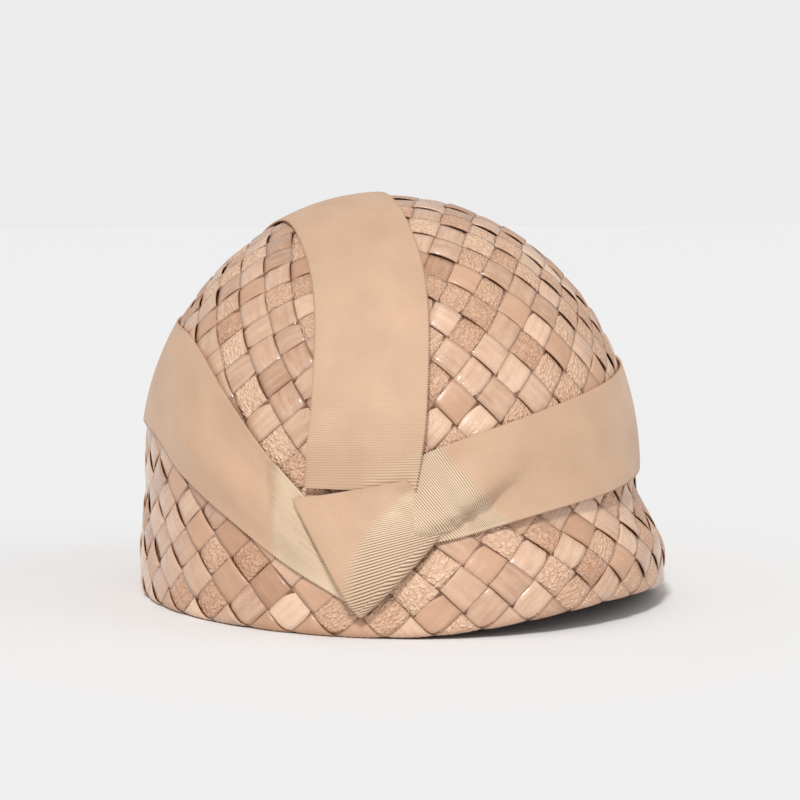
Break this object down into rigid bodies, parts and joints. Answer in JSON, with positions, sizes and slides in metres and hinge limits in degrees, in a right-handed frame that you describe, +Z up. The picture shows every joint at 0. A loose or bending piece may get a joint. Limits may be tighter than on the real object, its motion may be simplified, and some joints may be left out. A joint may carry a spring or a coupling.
{
  "type": "woven straw hat with ribbon trim",
  "caption": "Close-fitting domed hat of woven straw with a rolled rim, an inner head band and a wide ribbed ribbon crossed at the front.",
  "frame": {"origin": "bottom centre of the hat's box, on the surface that the rim rests on", "axes": "+Z up through the crown, -Y towards the front of the hat, +X to the right of someone who faces it"},
  "size_m": [0.195, 0.226, 0.1504],
  "materials": {
    "straw": "satin plaited straw braid",
    "ribbon": "ribbed grosgrain",
    "band_cloth": "plain woven cloth"
  },
  "bodies": {
    "root": {"woven_crown": "straw", "head_band": "band_cloth", "ribbon_band": "ribbon", "crown_strip": "ribbon", "ribbon_knot": "ribbon"}
  },
  "joints": []
}
